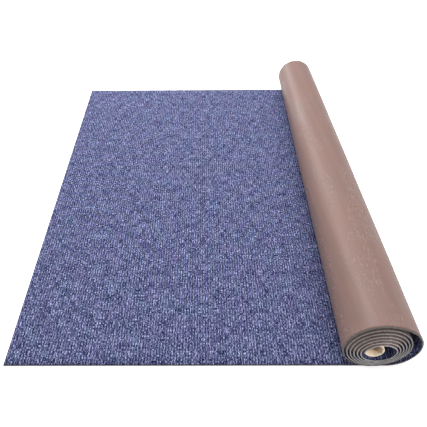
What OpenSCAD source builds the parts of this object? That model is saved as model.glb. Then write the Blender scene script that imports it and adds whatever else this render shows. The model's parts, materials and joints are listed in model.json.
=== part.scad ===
// A partly unrolled roll of ribbed marine carpet on its cardboard tube.
// The free end lies flat on the floor. The rest is wound up round the tube, face inwards.
// X runs across the floor towards the roll, Y along the roll, Z up.
// The origin is the middle of the footprint, on the floor. The near end is at low Y.

/* [Sheet] */
// Width of the carpet, along the roll
carpet_w = 1830; // [900:10:2400]
// Length on the floor, from the free edge to under the middle of the roll
flat_l = 1190; // [600:10:2400]
// Thickness of the ribbed face
pile_t = 2; // [1:0.5:2]
// Thickness of the felt under the face
felt_t = 2.5; // [1.5:0.5:2.5]
// Thickness of the rubber backing
rubber_t = 1.5; // [1:0.5:1.5]
// How much further out the near edge is at the roll than at the free edge
floor_slant = 22; // [0:1:30]

/* [Turns] */
// Turns from the floor to the inner end of the sheet
turns = 6.75; // [5.75:1:6.75]
// Distance from one turn to the next at the near end, where the roll has slackened, across
near_pitch = 10; // [9.6:0.1:10]
// The same, up
near_pitch_up = 10.8; // [10.4:0.1:10.8]
// Distance from one turn to the next at the far end, where it is still tight
far_pitch = 8; // [7.6:0.1:8]
// How far the inner end stands out of the near end
telescope = 24; // [0:1:40]

/* [Near end] */
// Half the width of the wound turns, which have sagged to an oval
near_half_w = 113.5; // [113:0.5:115]
// Middle of the wound turns, up
near_z = 109; // [108.5:0.5:109]
// How far right the sheet lies on the floor before it curls up
curl_x = 54; // [53:1:56]
// Radius of the curl
curl_r = 99; // [99:1:100]
// Middle of the slack loop's top and of the wound turns, across
loop_x = 11; // [10:1:12]
// Middle of the arc that forms the slack loop's top, up
loop_z = 55; // [54:0.5:55]

/* [Far end] */
// Middle of the wound turns, across
far_x = -6; // [-6.5:0.5:-5]
// Radius over the outside turn
far_r = 95.5; // [95:0.5:96]

/* [Core] */
// Outside diameter of the tube
core_od = 60; // [50:1:60]
// Wall of the tube
core_wall = 3.5; // [2:0.5:5]
// Length of the tube
core_l = 1830; // [900:10:2400]
// Middle of the tube, across
core_x = 0; // [-1:0.5:0]
// Middle of the tube, up
core_z = 100; // [100:0.5:100.5]
// How far the tube stands out of the near edge of the outside turn
core_out = 11; // [0:1:24]

/* [Hidden] */

// Degrees of turn from one station of the sheet to the next
step = 10;
// Stations along the flat part
flat_n = 12;
roll_n = round(turns * 360 / step);
last = flat_n + roll_n;

// The slack loop is the curl and then a flatter arc. At its top it runs on into the wound turns.
loop_r = curl_r + norm([curl_x - loop_x, curl_r - loop_z]);
curl_end = atan2(curl_x - loop_x, loop_z - curl_r);
loop_end = 180;
near_half_h = loop_z + loop_r - near_z;

// The box that the whole carpet fills
left = -flat_l;
right = curl_x + curl_r;
front = drift(last);
back = carpet_w + drift(0);

// A point at an angle round a centre: 0 is straight down, 90 is to the right.
function oval_at(x, z, half_w, half_h, angle) = [x + half_w * sin(angle), z - half_h * cos(angle)];
function round_at(x, z, r, angle) = oval_at(x, z, r, r, angle);

// The angle that a station has turned through since the sheet left the floor
function angle_at(i) = max(0, i - flat_n) * step;

// The sheet's outline at each end, at a depth below its outside face
function near_outline(i, depth) =
    let (a = angle_at(i), t = (a - loop_end) / 360)
    i < flat_n ? [left + (curl_x - left) * i / flat_n, depth]
    : a < curl_end ? round_at(curl_x, curl_r, curl_r - depth, a)
    : a < loop_end ? round_at(loop_x, loop_z, loop_r - depth, a)
    : oval_at(loop_x, near_z, near_half_w - near_pitch * t - depth,
              near_half_h - near_pitch_up * t - depth, a);

function far_outline(i, depth) =
    let (a = angle_at(i))
    i < flat_n ? [left + (far_x - left) * i / flat_n, depth]
    : round_at(far_x, far_r, far_r - far_pitch * a / 360 - depth, a);

// Length of sheet from the start of the roll, near enough
function wound(i) =
    let (a = angle_at(i))
    PI / 180 * a * (near_half_w - near_pitch * a / 720);

// The sheet lies and is wound at a slight slant, so each turn stands out past the one outside it.
function drift(i) = i < flat_n ? floor_slant * (1 - i / flat_n) : -telescope * wound(i) / wound(last);

// A sheet from one depth to another, as four points at each station
module layer(outside, inside) {
    points = [
        for (i = [0 : last])
            for (p = [
                [near_outline(i, outside), 0],
                [near_outline(i, inside), 0],
                [far_outline(i, outside), carpet_w],
                [far_outline(i, inside), carpet_w]
            ])
                [p[0].x, p[1] + drift(i), p[0].y]
    ];
    sides = [
        for (i = [0 : last - 1])
            let (a = 4 * i, b = a + 4)
            for (f = [
                [a, b, b + 2], [a, b + 2, a + 2],
                [a + 1, a + 3, b + 3], [a + 1, b + 3, b + 1],
                [a, a + 1, b + 1], [a, b + 1, b],
                [a + 2, b + 2, b + 3], [a + 2, b + 3, a + 3]
            ])
                f
    ];
    e = 4 * last;
    edges = [[0, 2, 3, 1], [e, e + 1, e + 3, e + 2]];
    centred() polyhedron(points, concat(sides, edges));
}

// Puts the origin in the middle of the footprint.
module centred() {
    translate([-(left + right) / 2, -(front + back) / 2, 0]) children();
}

module face_pile() {
    color("slateblue") layer(rubber_t + felt_t, rubber_t + felt_t + pile_t);
}

module felt_base() {
    color("dimgray") layer(rubber_t, rubber_t + felt_t);
}

module rubber_backing() {
    color("rosybrown") layer(0, rubber_t);
}

module core_tube() {
    color("burlywood")
        centred()
            translate([core_x, core_l - core_out, core_z])
                rotate([90, 0, 0])
                    difference() {
                        cylinder(h = core_l, d = core_od, $fn = 96);
                        translate([0, 0, -1])
                            cylinder(h = core_l + 2, d = core_od - 2 * core_wall, $fn = 96);
                    }
}

face_pile();
felt_base();
rubber_backing();
core_tube();
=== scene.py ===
"""A partly unrolled roll of ribbed marine carpet, round a loose cardboard tube.

The carpet is one sheet of three bonded layers: rubber under felt under a ribbed face. Its free end
lies on the floor and the rest is wound up face inwards. Lengths are in metres and angles in radians.
"""
import json
import math

import bmesh
import bpy
import numpy as np
from mathutils import Matrix, Vector


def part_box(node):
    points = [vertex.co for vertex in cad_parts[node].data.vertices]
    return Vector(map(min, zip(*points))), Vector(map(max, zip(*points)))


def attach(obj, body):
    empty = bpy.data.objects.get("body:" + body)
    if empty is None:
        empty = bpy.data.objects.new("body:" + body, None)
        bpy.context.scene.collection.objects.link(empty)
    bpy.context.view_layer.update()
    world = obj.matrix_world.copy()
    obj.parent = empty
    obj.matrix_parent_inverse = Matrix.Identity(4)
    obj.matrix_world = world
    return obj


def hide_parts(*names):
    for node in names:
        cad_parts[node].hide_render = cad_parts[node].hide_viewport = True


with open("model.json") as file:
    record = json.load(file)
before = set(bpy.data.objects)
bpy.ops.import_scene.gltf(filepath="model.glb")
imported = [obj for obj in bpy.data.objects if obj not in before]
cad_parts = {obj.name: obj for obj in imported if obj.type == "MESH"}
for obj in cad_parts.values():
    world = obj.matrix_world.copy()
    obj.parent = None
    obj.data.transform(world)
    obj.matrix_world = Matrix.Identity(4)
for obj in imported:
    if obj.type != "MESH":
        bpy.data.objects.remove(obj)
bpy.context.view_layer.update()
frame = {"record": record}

TAU = 2 * math.pi
MM = 0.001

# The sheet, as the CAD model has it
CARPET_W = 1.830
FLAT_L = 1.190
RUBBER_T = 1.5 * MM
FELT_T = 2.5 * MM
PILE_T = 2.0 * MM
FLOOR_SLANT = 22 * MM
TURNS = 6.75
NEAR_PITCH, NEAR_PITCH_UP = 10 * MM, 10.8 * MM
FAR_PITCH = 8 * MM
TELESCOPE = 24 * MM
NEAR_HALF_W, NEAR_Z = 113.5 * MM, 109 * MM
CURL_X, CURL_R = 54 * MM, 99 * MM
LOOP_X, LOOP_Z = 11 * MM, 55 * MM
FAR_X, FAR_R = -6 * MM, 95.5 * MM

# The slack loop's arcs, worked out from those
LOOP_R = CURL_R + math.hypot(CURL_X - LOOP_X, CURL_R - LOOP_Z)
CURL_END = math.atan2(CURL_X - LOOP_X, LOOP_Z - CURL_R)
LOOP_END = math.pi
NEAR_HALF_H = LOOP_Z + LOOP_R - NEAR_Z

# The ribbed face
RIB_PITCH = 9.6 * MM
RIB_BASE = 0.3 * MM
# Length of sheet whose upper side can be seen: the flat part and the inside of the slack loop
OPEN_L = 1.65

sheet_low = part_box("rubber_backing")[0]
SHIFT_X = sheet_low.x + FLAT_L
SHIFT_Y = sheet_low.y + TELESCOPE


# ---------------------------------------------------------------- the sheet's path

def oval(x, z, half_w, half_h, angle):
    """Points at an angle round a centre: 0 is straight down, a quarter turn is to the right."""
    return np.stack([x + half_w * np.sin(angle), z - half_h * np.cos(angle)], -1)


def arc(x, z, r, angle):
    """The same round a circle's centre."""
    return oval(x, z, r, r, angle)


def near_face(turn):
    """The outside face at the near end. turn is the angle wound, or from -1 to 0 along the floor.

    The slack loop is the curl and then a flatter arc. At its top it runs on into the wound turns.
    """
    a = np.maximum(turn, 0)
    flat = np.stack([CURL_X + (CURL_X + FLAT_L) * turn, 0 * turn], -1)
    curl = arc(CURL_X, CURL_R, CURL_R, a)
    loop = arc(LOOP_X, LOOP_Z, LOOP_R, a)
    t = (a - LOOP_END) / TAU
    wound = oval(LOOP_X, NEAR_Z, NEAR_HALF_W - NEAR_PITCH * t, NEAR_HALF_H - NEAR_PITCH_UP * t, a)
    tests = [turn[:, None] < 0, a[:, None] < CURL_END, a[:, None] < LOOP_END]
    return np.select(tests, [flat, curl, loop], wound)


def far_face(turn):
    """The outside face at the far end, where the roll is still tight."""
    a = np.maximum(turn, 0)
    flat = np.stack([FAR_X + (FAR_X + FLAT_L) * turn, 0 * turn], -1)
    return np.where(turn[:, None] < 0, flat, arc(FAR_X, FAR_R, FAR_R - FAR_PITCH * a / TAU, a))


def wound_length(turn):
    """Length of sheet from the start of the roll, near enough."""
    return turn * (NEAR_HALF_W - NEAR_PITCH * turn / 2 / TAU)


def drift(turn):
    """The sheet lies and is wound at a slight slant, so each turn stands out past the one outside it."""
    on_roll = -TELESCOPE * wound_length(turn) / wound_length(TURNS * TAU)
    return np.where(turn < 0, -FLOOR_SLANT * turn, on_roll)


FINE_TURN = np.concatenate([np.linspace(-1, 0, 60, endpoint=False), np.linspace(0, TURNS * TAU, 5000)])
NEAR_FACE = near_face(FINE_TURN)
FAR_FACE = far_face(FINE_TURN)


def section_at(width):
    """The sheet's outside face at a fraction of its width, and the length of sheet up to each point."""
    section = NEAR_FACE * (1 - width) + FAR_FACE * width
    steps = np.hypot(*np.diff(section, axis=0).T)
    return section, np.concatenate([[0], np.cumsum(steps)])


SHEET_L = (section_at(0)[1][-1] + section_at(1)[1][-1]) / 2


def lay_out(lengths, widths):
    """Where the outside face is, and which way is inwards, at lengths and fractions of the width.

    The near edge is wound more loosely than the far one, so it is longer. The sheet keeps its true
    length as far as it can be seen, and what is hidden is stretched to end in the same place.
    """
    place = np.empty((len(lengths), len(widths), 3))
    inward = np.zeros_like(place)
    hidden = np.maximum(lengths - OPEN_L, 0)
    for j, width in enumerate(widths):
        section, run = section_at(width)
        stretch = (run[-1] - OPEN_L) / (SHEET_L - OPEN_L)
        turn = np.interp(np.minimum(lengths, OPEN_L) + hidden * stretch, run, FINE_TURN)
        place[:, j, 0] = SHIFT_X + np.interp(turn, FINE_TURN, section[:, 0])
        place[:, j, 1] = SHIFT_Y + width * CARPET_W + drift(turn)
        place[:, j, 2] = np.interp(turn, FINE_TURN, section[:, 1])
        angle = np.maximum(turn, 0)
        inward[:, j, 0] = -np.sin(angle)
        inward[:, j, 2] = np.cos(angle)
    return place, inward


# ---------------------------------------------------------------- mesh helpers

def smooth_noise(u, w, seed):
    """Smooth random values from -1 to 1, with one independent value per unit of u and w."""
    size = 512
    values = np.random.default_rng(seed).uniform(-1, 1, (size, size))
    iu, iw = np.floor(u).astype(int), np.floor(w).astype(int)
    fu, fw = u - iu, w - iw
    fu, fw = fu * fu * (3 - 2 * fu), fw * fw * (3 - 2 * fw)
    iu, iw, next_u, next_w = iu % size, iw % size, (iu + 1) % size, (iw + 1) % size
    low = values[iu, iw] * (1 - fw) + values[iu, next_w] * fw
    high = values[next_u, iw] * (1 - fw) + values[next_u, next_w] * fw
    return low * (1 - fu) + high * fu


def strip_face(left, right, flip):
    """One polygon between two runs of vertex numbers that start and end side by side."""
    face = list(left) + list(reversed(right))
    return face if flip else face[::-1]


class Layer:
    """A closed sheet between a fine side and a plain back side, whose grids meet at the borders.

    A column is a line across the sheet, and a row is a line along it. row_step says how many rows
    each strip between two columns of the fine side takes at once, so that what never shows stays
    light. The back keeps every back_col-th column and every back_row-th row.
    """

    def __init__(self, columns, rows, row_step, back_col, back_row, flip):
        self.columns, self.rows, self.flip = columns, rows, flip
        self.row_step = row_step
        self.back_col, self.back_row = back_col, back_row
        # Each column has the rows that the strips on both its sides need, and the back at an end
        steps = [back_row, *row_step, back_row]
        self.finest = [min(steps[i], steps[i + 1]) for i in range(columns)]
        self.fine_keys = [(i, j) for i in range(columns) for j in range(0, rows, self.finest[i])]
        self.back_keys = [(i, j) for i in range(0, columns, back_col) for j in range(0, rows, back_row)]
        self.fine = {key: n for n, key in enumerate(self.fine_keys)}
        self.back = {key: n + len(self.fine) for n, key in enumerate(self.back_keys)}

    def run(self, i, low, high):
        """The vertex numbers of a column of the fine side, from one row to another."""
        return [self.fine[i, j] for j in range(low, high + 1, self.finest[i])]

    def faces(self):
        """The fine side, the back, the sheet's long borders and its two short ones."""
        found = []
        for i in range(self.columns - 1):
            step = self.row_step[i]
            for j in range(0, self.rows - 1, step):
                left, right = self.run(i, j, j + step), self.run(i + 1, j, j + step)
                found.append(strip_face(left, right, self.flip))
        cols, rows = self.back_col, self.back_row
        for i in range(0, self.columns - 1, cols):
            for j in range(0, self.rows - 1, rows):
                left = [self.back[i, j], self.back[i, j + rows]]
                right = [self.back[i + cols, j], self.back[i + cols, j + rows]]
                found.append(strip_face(left, right, not self.flip))
        for i in range(0, self.columns - 1, cols):
            for j, flip in ((0, self.flip), (self.rows - 1, not self.flip)):
                edge = [self.fine[k, j] for k in range(i, i + cols + 1)]
                found.append(strip_face(edge, [self.back[i, j], self.back[i + cols, j]], flip))
        for j in range(0, self.rows - 1, rows):
            for i, flip in ((0, not self.flip), (self.columns - 1, self.flip)):
                edge = self.run(i, j, j + rows)
                found.append(strip_face(edge, [self.back[i, j], self.back[i, j + rows]], flip))
        return found

    def points(self, fine_grid, back_grid):
        fine = np.array(self.fine_keys)
        back = np.array(self.back_keys)
        return np.concatenate([fine_grid[fine[:, 0], fine[:, 1]], back_grid[back[:, 0], back[:, 1]]])


def make_mesh(name, points, faces, attributes):
    mesh = bpy.data.meshes.new(name)
    mesh.from_pydata(points.tolist(), [], faces)
    mesh.validate()
    for key, values in attributes.items():
        kind = "FLOAT" if values.ndim == 1 else "FLOAT_VECTOR"
        field = "value" if values.ndim == 1 else "vector"
        data = mesh.attributes.new(key, kind, "POINT").data
        data.foreach_set(field, values.astype(np.float32).ravel())
    mesh.shade_smooth()
    piece = bpy.data.objects.new(name, mesh)
    bpy.context.scene.collection.objects.link(piece)
    return piece


def join_frame(piece, body, node, material):
    """The piece stands for a CAD node, moves with its body and takes its material."""
    piece.data.materials.append(material)
    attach(piece, body)
    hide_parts(node)
    return piece


def sheet_coordinates(layer, lengths, widths):
    """Each vertex's place on the flat sheet: along it, across it and a zero."""
    grid = np.zeros((len(lengths), len(widths), 3))
    grid[:, :, 0] = lengths[:, None]
    grid[:, :, 1] = widths[None, :] * CARPET_W
    return layer.points(grid, grid)


# ---------------------------------------------------------------- materials

class Shader:
    """A material whose nodes are added one call at a time."""

    def __init__(self, name):
        self.material = bpy.data.materials.new(name)
        self.material.use_nodes = True
        self.tree = self.material.node_tree
        self.surface = self.tree.nodes["Principled BSDF"]

    def put(self, socket, value):
        if isinstance(value, bpy.types.NodeSocket):
            self.tree.links.new(value, socket)
        else:
            socket.default_value = value

    def add(self, kind, inputs, output=0, **settings):
        node = self.tree.nodes.new("ShaderNode" + kind)
        for key, value in settings.items():
            setattr(node, key, value)
        for key, value in inputs.items():
            self.put(node.inputs[key], value)
        return node.outputs[output]

    def math(self, operation, a, b):
        return self.add("Math", {0: a, 1: b}, operation=operation)

    def attribute(self, name, output="Vector"):
        return self.add("Attribute", {}, output, attribute_name=name)

    def split(self, vector, axis):
        return self.add("SeparateXYZ", {"Vector": vector}, axis)

    def stretched(self, vector, scale):
        return self.add("VectorMath", {0: vector, 1: scale}, operation="MULTIPLY")

    def noise(self, vector, detail=2.0, roughness=0.5):
        inputs = {"Vector": vector, "Scale": 1.0, "Detail": detail, "Roughness": roughness}
        return self.add("TexNoise", inputs, "Fac")

    def ramp(self, fac, stops):
        out = self.add("ValToRGB", {"Fac": fac})
        ramp = out.node.color_ramp
        while len(ramp.elements) < len(stops):
            ramp.elements.new(1.0)
        for element, (position, colour) in zip(ramp.elements, stops):
            element.position = position
            element.color = (*colour, 1)
        return out

    def level(self, fac, low, high, to_low=0.0, to_high=1.0):
        """Turns the range low to high into to_low to to_high."""
        inputs = {"Value": fac, "From Min": low, "From Max": high, "To Min": to_low, "To Max": to_high}
        return self.add("MapRange", inputs, "Result", interpolation_type="SMOOTHSTEP")

    def mix(self, fac, a, b, blend="MIX"):
        node = self.tree.nodes.new("ShaderNodeMix")
        node.data_type = "RGBA"
        node.blend_type = blend
        self.put(node.inputs[0], fac)
        for key, value in ((6, a), (7, b)):
            self.put(node.inputs[key], (*value, 1) if isinstance(value, tuple) else value)
        return node.outputs[2]

    def dim(self, colour, factor):
        return self.mix(1.0, colour, self.add("CombineColor", {0: factor, 1: factor, 2: factor}), "MULTIPLY")

    def bump(self, height, strength, distance, normal=None):
        inputs = {"Height": height, "Strength": strength, "Distance": distance}
        if normal:
            inputs["Normal"] = normal
        return self.add("Bump", inputs)

    def finish(self, **inputs):
        for key, value in inputs.items():
            self.put(self.surface.inputs[key.replace("_", " ")], value)
        return self.material


def grey(value):
    return (value, value, value)


def pile_material():
    """Heathered needled fibre: short blue and navy tufts in rows, with painted shade down between the ribs.
    """
    s = Shader("blue_pile")
    place = s.attribute("sheet")
    tuft = s.noise(s.stretched(place, (480, 130, 1)), 1.0, 0.5)
    streak = s.noise(s.stretched(place, (330, 34, 5)), 1.0, 0.5)
    patch = s.noise(s.stretched(place, (18, 11, 1)), 3.0, 0.5)
    drop = s.noise(s.stretched(place, (30, 16, 7)), 2.0, 0.5)
    tone = s.math("ADD", s.math("MULTIPLY", tuft, 0.68), s.math("MULTIPLY", streak, 0.32))
    tone = s.math("ADD", tone, s.math("MULTIPLY", s.math("SUBTRACT", drop, 0.5), 0.10))
    colour = s.ramp(tone, [
        (0.37, (0.002, 0.003, 0.026)),
        (0.45, (0.025, 0.030, 0.096)),
        (0.51, (0.092, 0.104, 0.240)),
        (0.57, (0.235, 0.255, 0.475)),
        (0.64, (0.550, 0.580, 0.850)),
    ])
    tint = s.ramp(patch, [
        (0.34, (0.93, 1.03, 1.00)),
        (0.50, (1.00, 1.00, 1.00)),
        (0.66, (1.05, 0.97, 1.02)),
    ])
    colour = s.mix(1.0, colour, tint, "MULTIPLY")
    crest = s.attribute("crest", "Fac")
    # Painted shade down in the grooves between the ribs
    shade = s.level(crest, 0.1, 0.9, 0.18, 1.0)
    colour = s.dim(colour, shade)
    along, across = s.split(place, "X"), s.split(place, "Y")
    # Painted shade: the face is darker from where it leaves the floor, into the slack loop and the wound
    # turns, where little light gets in
    lifts, roll_shade_full = 1.20, 1.75
    colour = s.dim(colour, s.level(along, lifts, roll_shade_full, 1.0, 0.50))
    # The face is darker within a few millimetres of its cut edges, most at the far edge
    edge_band = 5 * MM
    colour = s.dim(colour, s.level(along, 0, edge_band, 0.5, 1.0))
    colour = s.dim(colour, s.level(across, 0, edge_band, 0.5, 1.0))
    colour = s.dim(colour, s.level(across, CARPET_W - 2 * edge_band, CARPET_W, 1.0, 0.35))
    fibre = s.noise(s.stretched(place, (900, 420, 1)), 2.0, 0.6)
    normal = s.bump(tuft, 0.9, 1.2 * MM, s.bump(fibre, 0.5, 0.4 * MM))
    return s.finish(Base_Color=colour, Roughness=0.95, Specular_IOR_Level=0.08, Normal=normal,
                    Sheen_Weight=0.03, Sheen_Roughness=0.6)


def felt_material():
    """Grey needled felt with paler and darker fibres."""
    s = Shader("grey_felt")
    place = s.attribute("sheet")
    fibre = s.noise(s.stretched(place, (420, 420, 420)), 3.0, 0.65)
    patch = s.noise(s.stretched(place, (60, 60, 60)), 2.0)
    colour = s.ramp(fibre, [
        (0.30, grey(0.14)),
        (0.50, (0.36, 0.34, 0.345)),
        (0.70, (0.62, 0.59, 0.60)),
    ])
    colour = s.mix(s.level(patch, 0.35, 0.65, 0.0, 0.35), colour, (0.24, 0.24, 0.245))
    # Handling has soiled the edge of the outside turn
    along = s.split(place, "X")
    soil_starts = s.level(along, 1.40, 1.52)
    soil_ends = s.level(along, 1.95, 2.05, 1.0, 0.0)
    soiled = s.math("MULTIPLY", soil_starts, soil_ends)
    colour = s.mix(s.math("MULTIPLY", soiled, 0.75), colour, (0.105, 0.108, 0.098))
    return s.finish(Base_Color=colour, Roughness=0.95, Specular_IOR_Level=0.15,
                    Normal=s.bump(fibre, 0.7, 0.6 * MM))


def rubber_material():
    """Soft taupe rubber, faintly streaked along the roll, with patches of fine pimples."""
    s = Shader("taupe_rubber")
    place = s.attribute("sheet")
    streak = s.noise(s.stretched(place, (38, 1.2, 1)), 3.0, 0.55)
    mottle = s.noise(s.stretched(place, (9, 5, 1)), 3.0, 0.5)
    colour = s.ramp(streak, [
        (0.30, (0.228, 0.141, 0.123)),
        (0.50, (0.242, 0.150, 0.131)),
        (0.70, (0.256, 0.160, 0.140)),
    ])
    tint = s.ramp(mottle, [(0.35, (0.97, 1.01, 1.00)), (0.50, grey(1.0)), (0.65, (1.03, 0.99, 0.98))])
    colour = s.mix(1.0, colour, tint, "MULTIPLY")
    along, across = s.split(place, "X"), s.split(place, "Y")
    # Little light gets in between the turns, which start where the outside one ends
    turn_ends, next_turn = 1.90, 2.10
    colour = s.dim(colour, s.level(along, turn_ends, next_turn, 1.0, 0.62))
    grain = s.noise(s.stretched(place, (700, 700, 1)), 2.0, 0.6)
    # Pimples and short creases in patches, most of them in the near half of the roll
    pimple = s.add("TexVoronoi", {"Vector": s.stretched(place, (170, 70, 1)), "Scale": 1.0}, "Distance")
    crease = s.noise(s.stretched(place, (210, 38, 1)), 1.0)
    raised = s.math("ADD", s.level(pimple, 0.10, 0.40, 1.0, 0.0), s.level(crease, 0.55, 0.68, 0.0, 0.8))
    patch = s.noise(s.stretched(place, (13, 3.2, 1)), 2.0)
    more_near = s.level(across, 0.3, 1.4, 0.09, -0.03)
    where = s.level(s.math("ADD", patch, more_near), 0.50, 0.60)
    fainter_far = s.level(across, 0.9, 1.5, 1.0, 0.3)
    raised = s.math("MULTIPLY", s.math("MULTIPLY", raised, where), fainter_far)
    # The raised pimples and creases are painted lighter: a painted highlight
    colour = s.mix(s.math("MULTIPLY", raised, 0.40), colour, (0.42, 0.32, 0.285))
    normal = s.bump(raised, 0.8, 1.1 * MM, s.bump(grain, 0.15, 0.3 * MM))
    roughness = s.level(mottle, 0.3, 0.7, 0.37, 0.45)
    return s.finish(Base_Color=colour, Roughness=roughness, Specular_IOR_Level=0.24, Normal=normal)


def board_material():
    """Spiral-wound kraft board: seams that run round in a helix, and plies at the cut ends."""
    s = Shader("kraft_board")
    place = s.attribute("from_axis")
    fibre = s.noise(s.stretched(place, (260, 60, 260)), 4.0, 0.6)
    blotch = s.noise(s.stretched(place, (22, 14, 22)), 3.0, 0.5)
    colour = s.ramp(fibre, [
        (0.30, (0.68, 0.52, 0.36)),
        (0.52, (0.84, 0.70, 0.53)),
        (0.72, (0.92, 0.81, 0.66)),
    ])
    colour = s.mix(s.level(blotch, 0.35, 0.7, 0.0, 0.4), colour, (0.70, 0.53, 0.35))
    # Painted shade: the bore is darker away from its ends
    depth = s.attribute("inside", "Fac")
    colour = s.mix(s.level(depth, 0.28, 0.70, 0.0, 0.9), colour, (0.20, 0.11, 0.05))
    seam = s.attribute("seam", "Fac")
    colour = s.mix(s.math("MULTIPLY", seam, 0.6), colour, (0.30, 0.19, 0.10))
    ply = s.attribute("ply", "Fac")
    colour = s.mix(s.math("MULTIPLY", ply, 0.75), colour, (0.88, 0.77, 0.61))
    return s.finish(Base_Color=colour, Roughness=0.85, Specular_IOR_Level=0.25,
                    Normal=s.bump(fibre, 0.35, 0.4 * MM))


def floor_material():
    """A pale studio floor, faintly uneven. The camera sees it lit up to the white behind it."""
    s = Shader("studio_floor")
    place = s.add("TexCoord", {}, "Object")
    cloud = s.noise(s.stretched(place, (0.8, 0.8, 0.8)), 3.0)
    colour = s.ramp(cloud, [(0.3, grey(0.93)), (0.7, grey(0.96))])
    glow = s.math("MULTIPLY", s.add("LightPath", {}, "Is Camera Ray"), 0.68)
    return s.finish(Base_Color=colour, Roughness=0.9, Specular_IOR_Level=0.1,
                    Emission_Color=(1, 1, 1, 1), Emission_Strength=glow)


# ---------------------------------------------------------------- the three layers

def ribbed_face():
    """The upper layer. Its ribs run along the roll, rounded and slightly uneven, with narrow grooves."""
    rib_profile = np.array([0.0, 0.11, 0.28, 0.5, 0.72, 0.89])
    ribs = round(SHEET_L / RIB_PITCH)
    u = np.append((np.arange(ribs)[:, None] + rib_profile).ravel(), ribs)[:, None]
    lengths = u[:, 0] * SHEET_L / ribs
    back_row = 5
    widths = np.linspace(0, 1, 12 * back_row + 1)
    open_columns = round(OPEN_L / RIB_PITCH) * len(rib_profile)
    row_step = [1 if i < open_columns else 4 * back_row for i in range(len(lengths) - 1)]
    layer = Layer(len(lengths), len(widths), row_step, len(rib_profile), back_row, flip=False)

    y = widths[None, :] * CARPET_W
    rib = np.floor(u) + 0 * y
    dome = np.sqrt(np.clip(1 - (2 * np.abs(u % 1 - 0.5)) ** 2.2, 0, 1))
    uneven = 1 + 0.10 * smooth_noise(rib * 7.3, y / 0.045, 11)
    crest = np.clip(dome * uneven * 0.9, 0, 1)
    sway = 0.35 * MM * smooth_noise(rib * 3.1, y / 0.09, 12) * (crest > 0.2)

    place, inward = lay_out(lengths, widths)
    along = np.stack([inward[:, :, 2], 0 * inward[:, :, 1], -inward[:, :, 0]], -1)
    base = RUBBER_T + FELT_T
    top = place + inward * (base + RIB_BASE + (PILE_T - RIB_BASE) * crest)[:, :, None]
    top += along * sway[:, :, None]
    fray = 0.8 * MM * np.abs(smooth_noise(u[:, 0] * 2.7, 0 * u[:, 0], 13))
    top[:, 0, 1] += fray
    top[:, -1, 1] -= fray
    back = place + inward * base
    points = layer.points(top, back)
    crest_values = layer.points(crest[:, :, None], 0 * crest[:, :, None])[:, 0]
    piece = make_mesh("ribbed_face", points, layer.faces(),
                      {"sheet": sheet_coordinates(layer, lengths, widths), "crest": crest_values})
    return join_frame(piece, "carpet", "face_pile", pile_material())


def even_columns(spacing, start, end):
    return np.linspace(start, end, round((end - start) / spacing), endpoint=False)


def felt_layer():
    """The middle layer. Its fibres flare out at the cut edges, over the rubber's and the face's."""
    lengths = np.append(even_columns(4 * MM, 0, SHEET_L), SHEET_L)
    lip, inner_lip = 1.5 * MM / CARPET_W, 5 * MM / CARPET_W
    # Fractions of the width, closer together towards the cut edge
    half = np.concatenate([[0, lip, inner_lip, 0.02, 0.05], np.linspace(0.1, 0.5, 5)])
    widths = np.concatenate([half, 1 - half[-2::-1]])
    layer = Layer(len(lengths), len(widths), [1] * (len(lengths) - 1), 1, 1, flip=False)
    place, inward = lay_out(lengths, widths)
    # Its faces stay off the ones that they are bonded to
    gap = 0.05 * MM
    top = place + inward * (RUBBER_T + FELT_T - gap)
    back = place + inward * (RUBBER_T + gap)
    coarse = smooth_noise(lengths / (11 * MM), 0 * lengths, 21)
    fine = smooth_noise(lengths / (4 * MM), 0 * lengths + 0.5, 22)
    # The edge of the outside turn is frayed by handling
    worn = 1 + 1.2 * np.interp(lengths, [1.35, 1.50, 1.70, 1.82], [0, 1, 1, 0])
    for side, sign in ((0, -1), (-1, 1)):
        out = (1.0 + 0.5 * coarse + 0.4 * fine) * worn * MM
        # What rests on the floor flares upwards only
        free = np.clip(place[:, side, 2] / (5 * MM), 0, 1)
        top[:, side, 1] += sign * out
        back[:, side, 1] += sign * (out - 0.4 * fine * MM)
        top[:, side] += inward[:, side] * ((0.7 + 0.3 * fine) * worn * MM)[:, None]
        back[:, side] -= inward[:, side] * (free * (0.9 + 0.3 * coarse) * worn * MM)[:, None]
    coordinates = sheet_coordinates(layer, lengths, widths)
    coordinates[:len(layer.fine), 2] = FELT_T
    piece = make_mesh("felt", layer.points(top, back), layer.faces(), {"sheet": coordinates})
    return join_frame(piece, "carpet", "felt_base", felt_material())


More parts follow.
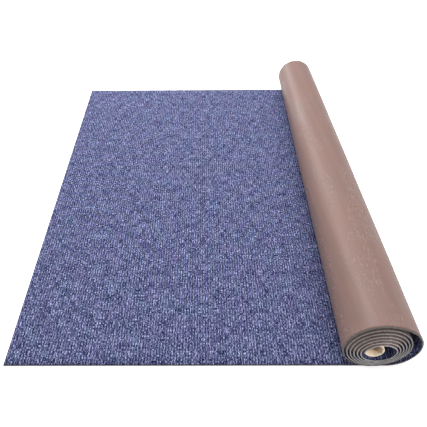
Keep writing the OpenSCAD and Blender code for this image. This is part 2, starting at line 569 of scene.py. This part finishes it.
def rubber_layer():
    """The backing. On the outside turn it is slightly uneven, with short wrinkles along the roll."""
    roll_start, roll_end = FLAT_L - 0.05, FLAT_L + 0.75
    lengths = np.concatenate([
        even_columns(40 * MM, 0, roll_start),
        even_columns(5 * MM, roll_start, roll_end),
        even_columns(12 * MM, roll_end, SHEET_L),
        [SHEET_L],
    ])
    back_row = 12
    widths = np.linspace(0, 1, 20 * back_row + 1)
    on_roll = (lengths >= roll_start) & (lengths < roll_end)
    row_step = [1 if on_roll[i] else back_row for i in range(len(lengths) - 1)]
    layer = Layer(len(lengths), len(widths), row_step, 1, back_row, flip=True)
    place, inward = lay_out(lengths, widths)

    s = lengths[:, None] + 0 * widths[None, :]
    y = widths[None, :] * CARPET_W + 0 * s
    swell = 0.35 * MM * smooth_noise(s / 0.09, y / 0.16, 31)
    wrinkle = smooth_noise(s / 0.011, y / 0.045, 32)
    wrinkle *= np.clip(smooth_noise(s / 0.12, y / 0.3, 33), 0, 1)
    # Nothing is pushed out where the sheet lies on the floor
    lifted = np.clip((place[:, :, 2] - 2 * MM) / (8 * MM), 0, 1) * on_roll[:, None]
    relief = (swell + 0.30 * MM * wrinkle) * lifted
    outer = place + inward * relief[:, :, None]
    inner = place + inward * RUBBER_T
    piece = make_mesh("rubber_back", layer.points(outer, inner), layer.faces(),
                      {"sheet": sheet_coordinates(layer, lengths, widths)})
    return join_frame(piece, "carpet", "rubber_backing", rubber_material())


# ---------------------------------------------------------------- the tube

def cardboard_tube():
    """Board wound in a helix, with a shallow butt seam and plies that show at the cut ends."""
    low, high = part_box("core_tube")
    centre = (low + high) / 2
    length = high.y - low.y
    outer_r = (high.x - low.x) / 2
    bore = next(m for m in frame["record"]["mounts"] if m["name"] == "core_bore")
    inner_r = bore["dims"]["r_mm"] * MM
    seam_lead, seam_half, seam_depth = 0.145, 1.2 * MM, 0.35 * MM
    # How far into the bore the painted shade gets as dark as it can
    dark_from = 50 * MM
    around = 96
    ring = np.array([-seam_half, 0, seam_half, *np.linspace(0.015, seam_lead - 0.015, 8)])
    # The grid leans by one lead over a turn, so it starts early and ends late
    count = math.ceil(length / seam_lead) + 3
    rows = (np.arange(count)[:, None] * seam_lead + ring[None, :]).ravel() - 1.5 * seam_lead
    in_seam = np.tile((np.abs(ring) < 1e-9).astype(float), count)

    mesh = bmesh.new()
    seam_key = mesh.verts.layers.float.new("seam")
    ply_key = mesh.verts.layers.float.new("ply")
    inside_key = mesh.verts.layers.float.new("inside")
    from_axis_key = mesh.verts.layers.float_vector.new("from_axis")

    def skin(radius, hand, depth):
        """One side of the wall, with seams cut into it by depth. It is too long at both ends."""
        grid = []
        for y, seam in zip(rows, in_seam):
            line = []
            for k in range(around + 1):
                a = k * TAU / around
                r = radius - depth * seam
                spot = Vector((r * math.cos(a), y + hand * seam_lead * k / around, r * math.sin(a)))
                vert = mesh.verts.new(Vector((centre.x, low.y, centre.z)) + spot)
                vert[seam_key] = seam
                vert[from_axis_key] = spot
                if radius < outer_r:
                    vert[inside_key] = min(1, max(0, min(spot.y, length - spot.y) / dark_from))
                line.append(vert)
            grid.append(line)
        for i in range(len(rows) - 1):
            for k in range(around):
                quad = (grid[i][k], grid[i][k + 1], grid[i + 1][k + 1], grid[i + 1][k])
                mesh.faces.new(quad if depth < 0 else quad[::-1])

    skin(outer_r, 1, seam_depth)
    skin(inner_r, -1, -seam_depth)
    bmesh.ops.remove_doubles(mesh, verts=mesh.verts[:], dist=1e-6)
    # Both ends are cut off square and closed
    for y, sign in ((low.y, -1), (high.y, 1)):
        everything = mesh.verts[:] + mesh.edges[:] + mesh.faces[:]
        bmesh.ops.bisect_plane(mesh, geom=everything, plane_co=(0, y, 0), plane_no=(0, sign, 0),
                               clear_outer=True, dist=1e-6)
    for y in (low.y, high.y):
        rim = [e for e in mesh.edges if e.is_boundary and all(abs(v.co.y - y) < 1e-5 for v in e.verts)]
        for e in rim:
            for v in e.verts:
                v[ply_key] = 1.0
        bmesh.ops.bridge_loops(mesh, edges=rim)
    bmesh.ops.recalc_face_normals(mesh, faces=mesh.faces[:])
    data = bpy.data.meshes.new("cardboard_tube")
    mesh.to_mesh(data)
    mesh.free()
    data.shade_smooth()
    piece = bpy.data.objects.new("cardboard_tube", data)
    bpy.context.scene.collection.objects.link(piece)
    return join_frame(piece, "core", "core_tube", board_material())


# ---------------------------------------------------------------- camera and studio

def camera():
    """Stands 0.9 m in front of the near edge, 1.5 m up, and looks down along the ribs."""
    data = bpy.data.cameras.new("camera")
    data.lens = 43.86
    data.shift_x, data.shift_y = 0.0051, -0.0105
    place = (0.0104, -1.8387, 1.5060)
    yaw, pitch, roll = math.radians(0.308), math.radians(41.396), math.radians(-0.705)
    turn = (Matrix.Rotation(-yaw, 4, "Z") @ Matrix.Rotation(TAU / 4 - pitch, 4, "X")
            @ Matrix.Rotation(roll, 4, "Z"))
    view = bpy.data.objects.new("camera", data)
    view.matrix_world = Matrix.Translation(place) @ turn
    bpy.context.scene.collection.objects.link(view)
    bpy.context.scene.camera = view


def put_light(name, kind, place, target, energy, **settings):
    data = bpy.data.lights.new(name, kind)
    data.energy = energy
    for key, value in settings.items():
        setattr(data, key, value)
    lamp = bpy.data.objects.new(name, data)
    aim = Vector(target) - Vector(place)
    lamp.matrix_world = Matrix.Translation(place) @ aim.to_track_quat("-Z", "Y").to_matrix().to_4x4()
    lamp.visible_camera = False
    bpy.context.scene.collection.objects.link(lamp)


def white_room(strength):
    """The world gives this much light from all round, and the camera sees it white."""
    world = bpy.data.worlds.new("studio")
    world.use_nodes = True
    tree = world.node_tree
    even = tree.nodes["Background"]
    even.inputs["Color"].default_value = (1, 1, 1, 1)
    even.inputs["Strength"].default_value = strength
    backdrop = tree.nodes.new("ShaderNodeBackground")
    backdrop.inputs["Color"].default_value = (1, 1, 1, 1)
    mix = tree.nodes.new("ShaderNodeMixShader")
    path = tree.nodes.new("ShaderNodeLightPath")
    tree.links.new(path.outputs["Is Camera Ray"], mix.inputs[0])
    tree.links.new(even.outputs[0], mix.inputs[1])
    tree.links.new(backdrop.outputs[0], mix.inputs[2])
    tree.links.new(mix.outputs[0], tree.nodes["World Output"].inputs["Surface"])
    bpy.context.scene.world = world


def studio():
    """A white room: light from overhead, and a long softbox whose reflection runs down the roll."""
    white_room(0.5)
    bpy.context.scene.view_settings.view_transform = "Standard"
    put_light("overhead", "SUN", (0.5, 0.8, 3), (0, 0, 0), 1.62, angle=math.radians(70))
    put_light("softbox", "AREA", (-0.5, 1.9, 2.5), (0.3, -0.1, 0), 100,
              shape="RECTANGLE", size=0.7, size_y=5.5)
    tube_low, tube_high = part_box("core_tube")
    mouth = ((tube_low.x + tube_high.x) / 2, tube_low.y, (tube_low.z + tube_high.z) / 2)
    put_light("tube_spot", "SPOT", (mouth[0] + 1.0, mouth[1] - 1.1, mouth[2] + 1.2), mouth, 105,
              spot_size=math.radians(4), spot_blend=1.0, shadow_soft_size=0.03)

    # A little under the roll, so that the two don't share a plane
    drop = 0.5 * MM
    half = 15
    corners = [(-half, -half, 0), (half, -half, 0), (half, half, 0), (-half, half, 0)]
    mesh = bpy.data.meshes.new("studio_floor")
    mesh.from_pydata(corners, [], [(0, 1, 2, 3)])
    floor = bpy.data.objects.new("studio_floor", mesh)
    floor.location.z = -drop
    mesh.materials.append(floor_material())
    bpy.context.scene.collection.objects.link(floor)


camera()
studio()
face = ribbed_face()
felt = felt_layer()
rubber = rubber_layer()
tube = cardboard_tube()
